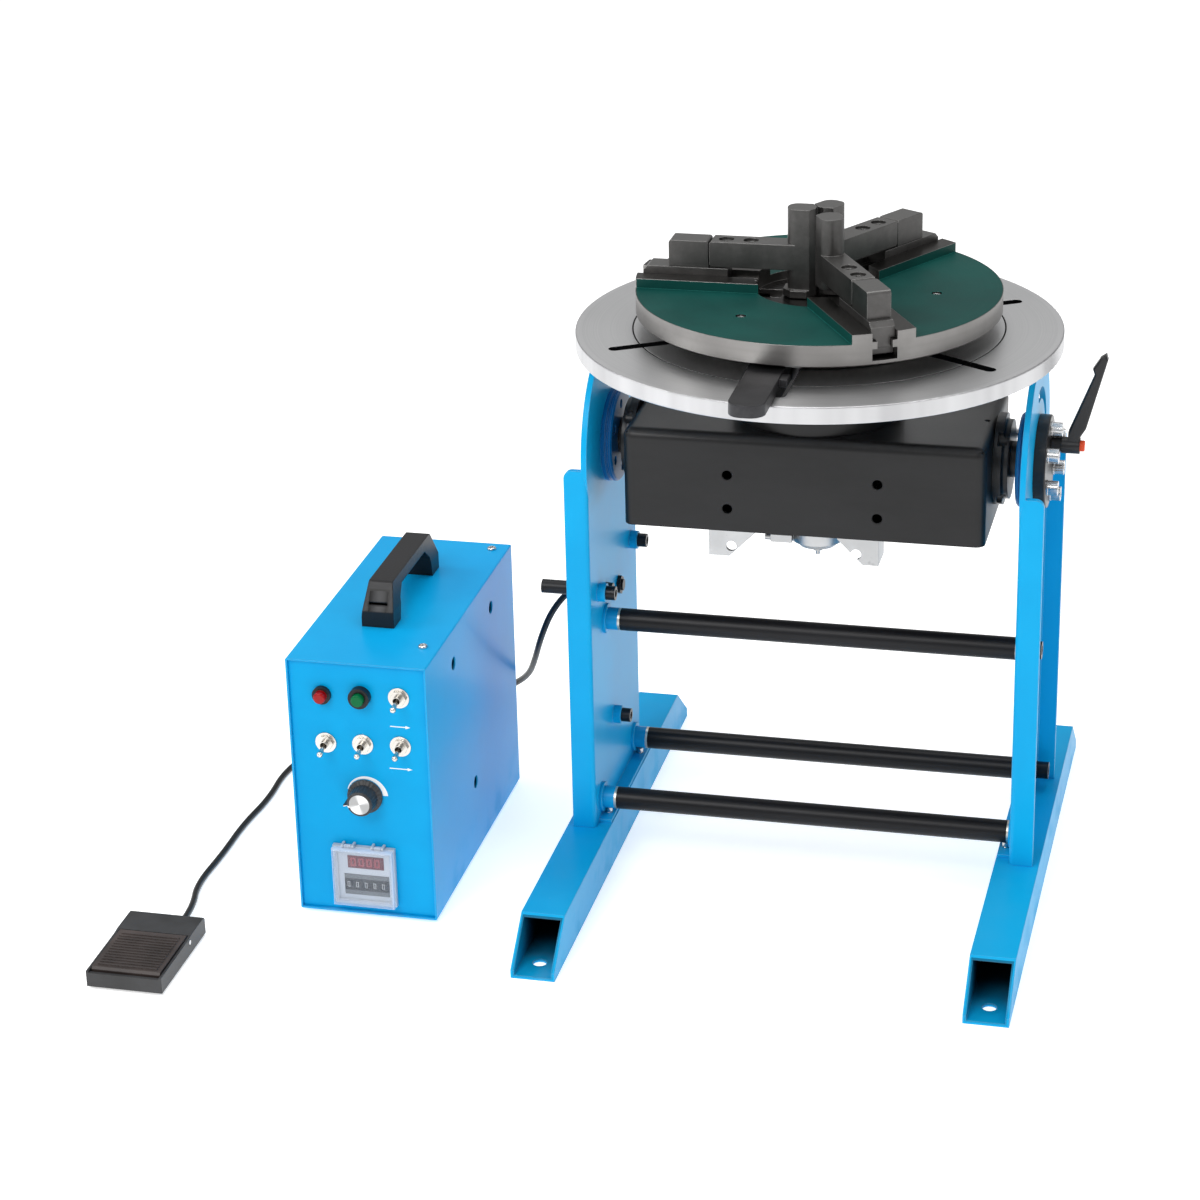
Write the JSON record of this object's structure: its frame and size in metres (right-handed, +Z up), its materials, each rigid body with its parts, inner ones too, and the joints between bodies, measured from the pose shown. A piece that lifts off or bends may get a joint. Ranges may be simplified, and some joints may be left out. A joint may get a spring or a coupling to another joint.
{
  "type": "welding positioner",
  "caption": "Tilting, turning welding table on a two-upright stand, with a self-centring scroll chuck, a separate control box and a foot switch.",
  "frame": {"origin": "floor level, centre of the rectangle of anchor holes in the two feet", "axes": "+X right along the tilt axis, +Y to the back, +Z up along the table's axis at rest"},
  "size_m": [0.7749, 0.6, 0.5765],
  "materials": {
    "stand_paint": "gloss",
    "case_paint": "gloss",
    "black_enamel": "satin",
    "turned_steel": "brushed",
    "chuck_steel": "ground, with painted sectors",
    "jaw_steel": "blackened",
    "black_steel": "blackened",
    "zinc": "plated",
    "brass": "satin",
    "black_plastic": "matt",
    "red_plastic": "gloss",
    "orange_plastic": "gloss",
    "green_plastic": "gloss",
    "grey_plastic": "gloss",
    "clear_plastic": "clear",
    "rubber": "matt"
  },
  "bodies": {
    "stand": {"left_foot": "stand_paint", "right_foot": "stand_paint", "left_upright": "stand_paint", "right_upright": "stand_paint", "lower_tie_rods": "black_steel", "upper_tie_rod": "black_steel", "rod_washers": "brass", "rod_screws": "black_steel", "frame_screws": "black_steel", "left_bearing_ring": "stand_paint", "right_bearing_ring": "stand_paint", "clamp_disc": "black_enamel", "trunnion_screws": "zinc", "cord_fittings": "black_plastic", "motor_cord": "rubber", "case_shell": "case_paint", "case_panel": "case_paint", "case_handle": "black_plastic", "pilot_lamp": "red_plastic", "reset_bezel": "black_plastic", "switch_bushes": "zinc", "timer_body": "grey_plastic", "mains_inlet": "black_plastic", "small_screws": "zinc", "rubber_feet": "rubber", "pedal_base": "black_plastic", "pedal_cord": "rubber"},
    "tilting_head": {"housing": "black_enamel", "housing_floor": "black_enamel", "left_trunnion": "black_enamel", "right_trunnion": "black_enamel", "spindle_housing": "black_enamel", "spindle_bearings": "zinc", "worm_gearbox": "zinc", "gear_motor": "black_enamel", "earth_collector": "zinc", "underside_brackets": "zinc", "stop_pin": "zinc"},
    "rotor": {"turntable": "turned_steel", "spindle": "turned_steel", "chuck_body": "chuck_steel", "chuck_screws": "zinc"},
    "scroll": {"scroll_ring": "jaw_steel", "handle_bar": "jaw_steel"},
    "jaw_1": {"base_jaw_1": "jaw_steel", "top_jaw_1": "jaw_steel"},
    "jaw_2": {"base_jaw_2": "jaw_steel", "top_jaw_2": "jaw_steel"},
    "jaw_3": {"base_jaw_3": "jaw_steel", "top_jaw_3": "jaw_steel"},
    "lever": {"tilt_lever": "black_enamel"},
    "lever_button": {"lever_button": "orange_plastic"},
    "reset_button": {"reset_button": "green_plastic"},
    "toggle_1": {"toggle_1": "zinc"},
    "toggle_2": {"toggle_2": "zinc"},
    "toggle_3": {"toggle_3": "zinc"},
    "toggle_4": {"toggle_4": "zinc"},
    "speed_knob": {"speed_knob": "black_plastic"},
    "timer_cover": {"timer_cover": "clear_plastic"},
    "pedal_treadle": {"pedal_treadle": "black_plastic"}
  },
  "joints": [
    {"name": "tilt", "type": "hinge", "parent": "stand", "child": "tilting_head", "pos_m": [0, 0.0254, 0.37], "axis": [1, 0, 0], "range_deg": [0, 90]},
    {"name": "table_spin", "type": "hinge", "parent": "tilting_head", "child": "rotor", "pos_m": [0, 0.0254, 0.47], "axis": [0, 0, 1], "continuous": true},
    {"name": "scroll_turn", "type": "hinge", "parent": "rotor", "child": "scroll", "pos_m": [0, 0.0254, 0.485], "axis": [0, 0, 1], "range_deg": [-609, 13.8]},
    {"name": "jaw_1_slide", "type": "slide", "parent": "rotor", "child": "jaw_1", "axis": [-1, 0, 0], "range_m": [-0.0005, 0.022]},
    {"name": "jaw_2_slide", "type": "slide", "parent": "rotor", "child": "jaw_2", "axis": [0.5, 0.866, 0], "range_m": [-0.0005, 0.022]},
    {"name": "jaw_3_slide", "type": "slide", "parent": "rotor", "child": "jaw_3", "axis": [0.5, -0.866, 0], "range_m": [-0.0005, 0.022]},
    {"name": "lever_swing", "type": "hinge", "parent": "stand", "child": "lever", "pos_m": [0.205, 0.0254, 0.385], "axis": [1, 0, 0], "range_deg": [-30, 60]},
    {"name": "lever_button_push", "type": "slide", "parent": "lever", "child": "lever_button", "axis": [-1, 0, 0], "range_m": [0, 0.003], "stiffness_N_per_m": 400, "springref_m": -0.001},
    {"name": "reset_button_push", "type": "slide", "parent": "stand", "child": "reset_button", "axis": [0, 1, 0], "range_m": [0, 0.003], "stiffness_N_per_m": 400, "springref_m": -0.001},
    {"name": "toggle_1_flip", "type": "hinge", "parent": "stand", "child": "toggle_1", "pos_m": [-0.3116, -0.1815, 0.206], "axis": [1, 0, 0], "range_deg": [-24, 0]},
    {"name": "toggle_2_flip", "type": "hinge", "parent": "stand", "child": "toggle_2", "pos_m": [-0.3767, -0.1815, 0.16], "axis": [1, 0, 0], "range_deg": [-24, 0]},
    {"name": "toggle_3_flip", "type": "hinge", "parent": "stand", "child": "toggle_3", "pos_m": [-0.3447, -0.1815, 0.161], "axis": [1, 0, 0], "range_deg": [-24, 0]},
    {"name": "toggle_4_flip", "type": "hinge", "parent": "stand", "child": "toggle_4", "pos_m": [-0.3121, -0.1815, 0.162], "axis": [1, 0, 0], "range_deg": [-24, 0]},
    {"name": "knob_turn", "type": "hinge", "parent": "stand", "child": "speed_knob", "pos_m": [-0.345, -0.179, 0.1135], "axis": [0, 1, 0], "range_deg": [0, 300]},
    {"name": "timer_cover_swing", "type": "hinge", "parent": "stand", "child": "timer_cover", "pos_m": [-0.3485, -0.1849, 0.0676], "axis": [-1, 0, 0], "range_deg": [0, 100]},
    {"name": "treadle_press", "type": "hinge", "parent": "stand", "child": "pedal_treadle", "pos_m": [-0.505, -0.2755, 0.0135], "axis": [1, 0, 0], "range_deg": [0, 3], "stiffness_Nm_per_rad": 8, "springref_deg": -2.86}
  ],
  "couplings": [
    {"joint": "jaw_1_slide", "follows": "scroll_turn", "m_per_rad": -0.002069},
    {"joint": "jaw_2_slide", "follows": "scroll_turn", "m_per_rad": -0.002069},
    {"joint": "jaw_3_slide", "follows": "scroll_turn", "m_per_rad": -0.002069}
  ]
}
